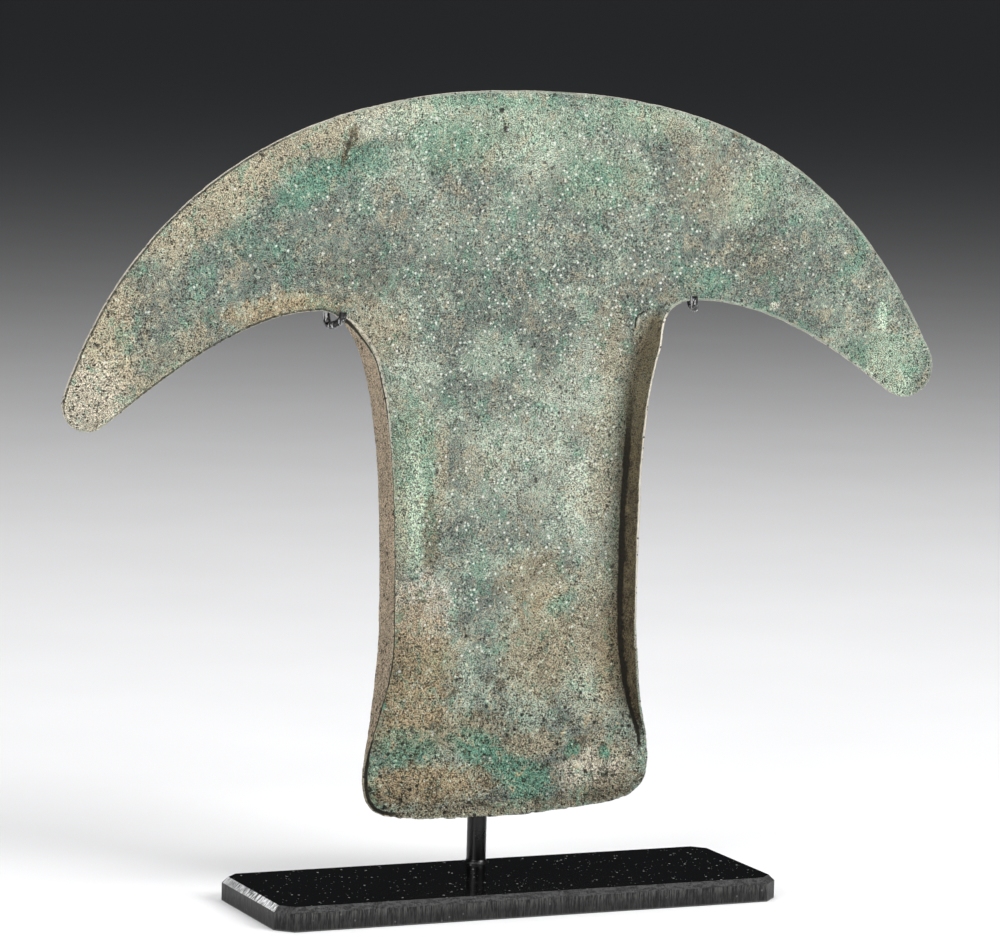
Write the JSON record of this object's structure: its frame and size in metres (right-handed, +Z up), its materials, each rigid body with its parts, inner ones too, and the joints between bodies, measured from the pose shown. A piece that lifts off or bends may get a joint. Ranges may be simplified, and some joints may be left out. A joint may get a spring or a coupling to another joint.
{
  "type": "hoe currency on display stand",
  "caption": "Flat copper hoe-shaped currency blade with a broad crescent top, drooping rounded arms and a flanged shank, hung in wire hooks on a low black stand",
  "frame": {"origin": "middle of the base's underside, on the surface that the stand rests on", "axes": "+X along the base, to the right as the blade's front shows it; +Y to the back, where the post stands; +Z up"},
  "size_m": [0.1489, 0.0278, 0.1261],
  "materials": {
    "copper_patina": "corroded copper, matte grey-green and tan patina",
    "base_paint": "gloss black paint on filed flat bar",
    "post_paint": "semi-gloss black paint",
    "wire_black": "thin black paint with worn bright streaks"
  },
  "bodies": {
    "root": {"hoe_blade": "copper_patina", "stand_base": "base_paint", "stand_post": "post_paint", "cradle_wire": "wire_black"}
  },
  "joints": []
}
